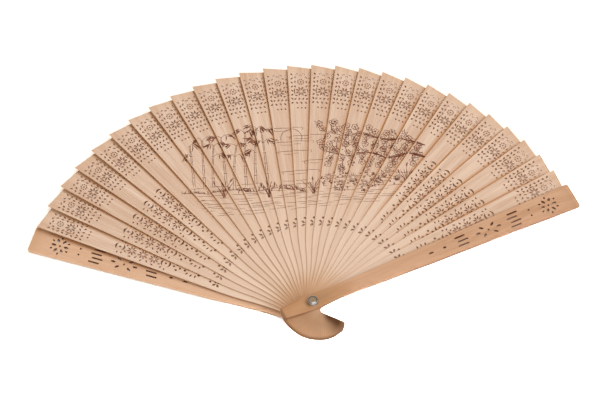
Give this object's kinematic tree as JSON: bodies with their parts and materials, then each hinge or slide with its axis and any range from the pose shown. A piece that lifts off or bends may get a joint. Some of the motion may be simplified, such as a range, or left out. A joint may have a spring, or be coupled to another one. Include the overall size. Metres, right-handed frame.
{
  "type": "wooden folding fan",
  "caption": "Wooden folding fan standing open: thin pierced wood blades between two thicker pierced guards, all turning on one domed metal rivet above a short rounded heel.",
  "frame": {"origin": "rivet axis at the flat rear face of the rivet's rear head", "axes": "+Z along the rivet axis from the rear guard to the front guard, +Y along the middle of the open spread, +X across the spread towards the front guard"},
  "size_m": [0.343, 0.2024, 0.0253],
  "materials": {
    "blade_wood": "satin, pale",
    "guard_wood": "satin, tan",
    "link_tape": "matte",
    "rivet_metal": "polished"
  },
  "bodies": {
    "rear_guard": {"rear_guard": "guard_wood", "rivet_pin": "rivet_metal", "rivet_washer": "rivet_metal", "rivet_dome": "rivet_metal"},
    "blade_01": {"blade_01": "blade_wood", "link_tape_01": "link_tape"},
    "blade_02": {"blade_02": "blade_wood", "link_tape_02": "link_tape"},
    "blade_03": {"blade_03": "blade_wood", "link_tape_03": "link_tape"},
    "blade_04": {"blade_04": "blade_wood", "link_tape_04": "link_tape"},
    "blade_05": {"blade_05": "blade_wood", "link_tape_05": "link_tape"},
    "blade_06": {"blade_06": "blade_wood", "link_tape_06": "link_tape"},
    "blade_07": {"blade_07": "blade_wood", "link_tape_07": "link_tape"},
    "blade_08": {"blade_08": "blade_wood", "link_tape_08": "link_tape"},
    "blade_09": {"blade_09": "blade_wood", "link_tape_09": "link_tape"},
    "blade_10": {"blade_10": "blade_wood", "link_tape_10": "link_tape"},
    "blade_11": {"blade_11": "blade_wood", "link_tape_11": "link_tape"},
    "blade_12": {"blade_12": "blade_wood", "link_tape_12": "link_tape"},
    "blade_13": {"blade_13": "blade_wood", "link_tape_13": "link_tape"},
    "blade_14": {"blade_14": "blade_wood", "link_tape_14": "link_tape"},
    "blade_15": {"blade_15": "blade_wood", "link_tape_15": "link_tape"},
    "blade_16": {"blade_16": "blade_wood", "link_tape_16": "link_tape"},
    "blade_17": {"blade_17": "blade_wood", "link_tape_17": "link_tape"},
    "blade_18": {"blade_18": "blade_wood", "link_tape_18": "link_tape"},
    "blade_19": {"blade_19": "blade_wood", "link_tape_19": "link_tape"},
    "blade_20": {"blade_20": "blade_wood", "link_tape_20": "link_tape"},
    "blade_21": {"blade_21": "blade_wood", "link_tape_21": "link_tape"},
    "blade_22": {"blade_22": "blade_wood", "link_tape_22": "link_tape"},
    "blade_23": {"blade_23": "blade_wood", "link_tape_23": "link_tape"},
    "blade_24": {"blade_24": "blade_wood", "link_tape_24": "link_tape"},
    "blade_25": {"blade_25": "blade_wood", "link_tape_25": "link_tape"},
    "blade_26": {"blade_26": "blade_wood", "link_tape_26": "link_tape"},
    "blade_27": {"blade_27": "blade_wood", "link_tape_27": "link_tape"},
    "front_guard": {"front_guard": "guard_wood", "link_tape_28": "link_tape"}
  },
  "joints": [
    {"name": "fan_fold", "type": "hinge", "parent": "rear_guard", "child": "front_guard", "pos_m": [0, 0, 0], "axis": [0, 0, 1], "range_deg": [0, 136.2]},
    {"name": "blade_01_pivot", "type": "hinge", "parent": "rear_guard", "child": "blade_01", "pos_m": [0, 0, 0], "axis": [0, 0, 1], "range_deg": [0, 5.19]},
    {"name": "blade_02_pivot", "type": "hinge", "parent": "rear_guard", "child": "blade_02", "pos_m": [0, 0, 0], "axis": [0, 0, 1], "range_deg": [0, 10.35]},
    {"name": "blade_03_pivot", "type": "hinge", "parent": "rear_guard", "child": "blade_03", "pos_m": [0, 0, 0], "axis": [0, 0, 1], "range_deg": [0, 15.49]},
    {"name": "blade_04_pivot", "type": "hinge", "parent": "rear_guard", "child": "blade_04", "pos_m": [0, 0, 0], "axis": [0, 0, 1], "range_deg": [0, 20.61]},
    {"name": "blade_05_pivot", "type": "hinge", "parent": "rear_guard", "child": "blade_05", "pos_m": [0, 0, 0], "axis": [0, 0, 1], "range_deg": [0, 25.7]},
    {"name": "blade_06_pivot", "type": "hinge", "parent": "rear_guard", "child": "blade_06", "pos_m": [0, 0, 0], "axis": [0, 0, 1], "range_deg": [0, 30.76]},
    {"name": "blade_07_pivot", "type": "hinge", "parent": "rear_guard", "child": "blade_07", "pos_m": [0, 0, 0], "axis": [0, 0, 1], "range_deg": [0, 35.81]},
    {"name": "blade_08_pivot", "type": "hinge", "parent": "rear_guard", "child": "blade_08", "pos_m": [0, 0, 0], "axis": [0, 0, 1], "range_deg": [0, 40.83]},
    {"name": "blade_09_pivot", "type": "hinge", "parent": "rear_guard", "child": "blade_09", "pos_m": [0, 0, 0], "axis": [0, 0, 1], "range_deg": [0, 45.82]},
    {"name": "blade_10_pivot", "type": "hinge", "parent": "rear_guard", "child": "blade_10", "pos_m": [0, 0, 0], "axis": [0, 0, 1], "range_deg": [0, 50.79]},
    {"name": "blade_11_pivot", "type": "hinge", "parent": "rear_guard", "child": "blade_11", "pos_m": [0, 0, 0], "axis": [0, 0, 1], "range_deg": [0, 55.74]},
    {"name": "blade_12_pivot", "type": "hinge", "parent": "rear_guard", "child": "blade_12", "pos_m": [0, 0, 0], "axis": [0, 0, 1], "range_deg": [0, 60.66]},
    {"name": "blade_13_pivot", "type": "hinge", "parent": "rear_guard", "child": "blade_13", "pos_m": [0, 0, 0], "axis": [0, 0, 1], "range_deg": [0, 65.56]},
    {"name": "blade_14_pivot", "type": "hinge", "parent": "rear_guard", "child": "blade_14", "pos_m": [0, 0, 0], "axis": [0, 0, 1], "range_deg": [0, 70.44]},
    {"name": "blade_15_pivot", "type": "hinge", "parent": "rear_guard", "child": "blade_15", "pos_m": [0, 0, 0], "axis": [0, 0, 1], "range_deg": [0, 75.29]},
    {"name": "blade_16_pivot", "type": "hinge", "parent": "rear_guard", "child": "blade_16", "pos_m": [0, 0, 0], "axis": [0, 0, 1], "range_deg": [0, 80.12]},
    {"name": "blade_17_pivot", "type": "hinge", "parent": "rear_guard", "child": "blade_17", "pos_m": [0, 0, 0], "axis": [0, 0, 1], "range_deg": [0, 84.93]},
    {"name": "blade_18_pivot", "type": "hinge", "parent": "rear_guard", "child": "blade_18", "pos_m": [0, 0, 0], "axis": [0, 0, 1], "range_deg": [0, 89.71]},
    {"name": "blade_19_pivot", "type": "hinge", "parent": "rear_guard", "child": "blade_19", "pos_m": [0, 0, 0], "axis": [0, 0, 1], "range_deg": [0, 94.46]},
    {"name": "blade_20_pivot", "type": "hinge", "parent": "rear_guard", "child": "blade_20", "pos_m": [0, 0, 0], "axis": [0, 0, 1], "range_deg": [0, 99.2]},
    {"name": "blade_21_pivot", "type": "hinge", "parent": "rear_guard", "child": "blade_21", "pos_m": [0, 0, 0], "axis": [0, 0, 1], "range_deg": [0, 103.91]},
    {"name": "blade_22_pivot", "type": "hinge", "parent": "rear_guard", "child": "blade_22", "pos_m": [0, 0, 0], "axis": [0, 0, 1], "range_deg": [0, 108.59]},
    {"name": "blade_23_pivot", "type": "hinge", "parent": "rear_guard", "child": "blade_23", "pos_m": [0, 0, 0], "axis": [0, 0, 1], "range_deg": [0, 113.25]},
    {"name": "blade_24_pivot", "type": "hinge", "parent": "rear_guard", "child": "blade_24", "pos_m": [0, 0, 0], "axis": [0, 0, 1], "range_deg": [0, 117.89]},
    {"name": "blade_25_pivot", "type": "hinge", "parent": "rear_guard", "child": "blade_25", "pos_m": [0, 0, 0], "axis": [0, 0, 1], "range_deg": [0, 122.51]},
    {"name": "blade_26_pivot", "type": "hinge", "parent": "rear_guard", "child": "blade_26", "pos_m": [0, 0, 0], "axis": [0, 0, 1], "range_deg": [0, 127.1]},
    {"name": "blade_27_pivot", "type": "hinge", "parent": "rear_guard", "child": "blade_27", "pos_m": [0, 0, 0], "axis": [0, 0, 1], "range_deg": [0, 131.66]}
  ],
  "couplings": [
    {"joint": "blade_01_pivot", "follows": "fan_fold", "ratio": 0.038077},
    {"joint": "blade_02_pivot", "follows": "fan_fold", "ratio": 0.075979},
    {"joint": "blade_03_pivot", "follows": "fan_fold", "ratio": 0.11371},
    {"joint": "blade_04_pivot", "follows": "fan_fold", "ratio": 0.15126},
    {"joint": "blade_05_pivot", "follows": "fan_fold", "ratio": 0.18863},
    {"joint": "blade_06_pivot", "follows": "fan_fold", "ratio": 0.22584},
    {"joint": "blade_07_pivot", "follows": "fan_fold", "ratio": 0.26286},
    {"joint": "blade_08_pivot", "follows": "fan_fold", "ratio": 0.29971},
    {"joint": "blade_09_pivot", "follows": "fan_fold", "ratio": 0.33639},
    {"joint": "blade_10_pivot", "follows": "fan_fold", "ratio": 0.37289},
    {"joint": "blade_11_pivot", "follows": "fan_fold", "ratio": 0.40922},
    {"joint": "blade_12_pivot", "follows": "fan_fold", "ratio": 0.44537},
    {"joint": "blade_13_pivot", "follows": "fan_fold", "ratio": 0.48135},
    {"joint": "blade_14_pivot", "follows": "fan_fold", "ratio": 0.51715},
    {"joint": "blade_15_pivot", "follows": "fan_fold", "ratio": 0.55278},
    {"joint": "blade_16_pivot", "follows": "fan_fold", "ratio": 0.58823},
    {"joint": "blade_17_pivot", "follows": "fan_fold", "ratio": 0.6235},
    {"joint": "blade_18_pivot", "follows": "fan_fold", "ratio": 0.65861},
    {"joint": "blade_19_pivot", "follows": "fan_fold", "ratio": 0.69353},
    {"joint": "blade_20_pivot", "follows": "fan_fold", "ratio": 0.72829},
    {"joint": "blade_21_pivot", "follows": "fan_fold", "ratio": 0.76286},
    {"joint": "blade_22_pivot", "follows": "fan_fold", "ratio": 0.79726},
    {"joint": "blade_23_pivot", "follows": "fan_fold", "ratio": 0.83149},
    {"joint": "blade_24_pivot", "follows": "fan_fold", "ratio": 0.86554},
    {"joint": "blade_25_pivot", "follows": "fan_fold", "ratio": 0.89942},
    {"joint": "blade_26_pivot", "follows": "fan_fold", "ratio": 0.93312},
    {"joint": "blade_27_pivot", "follows": "fan_fold", "ratio": 0.96665}
  ]
}
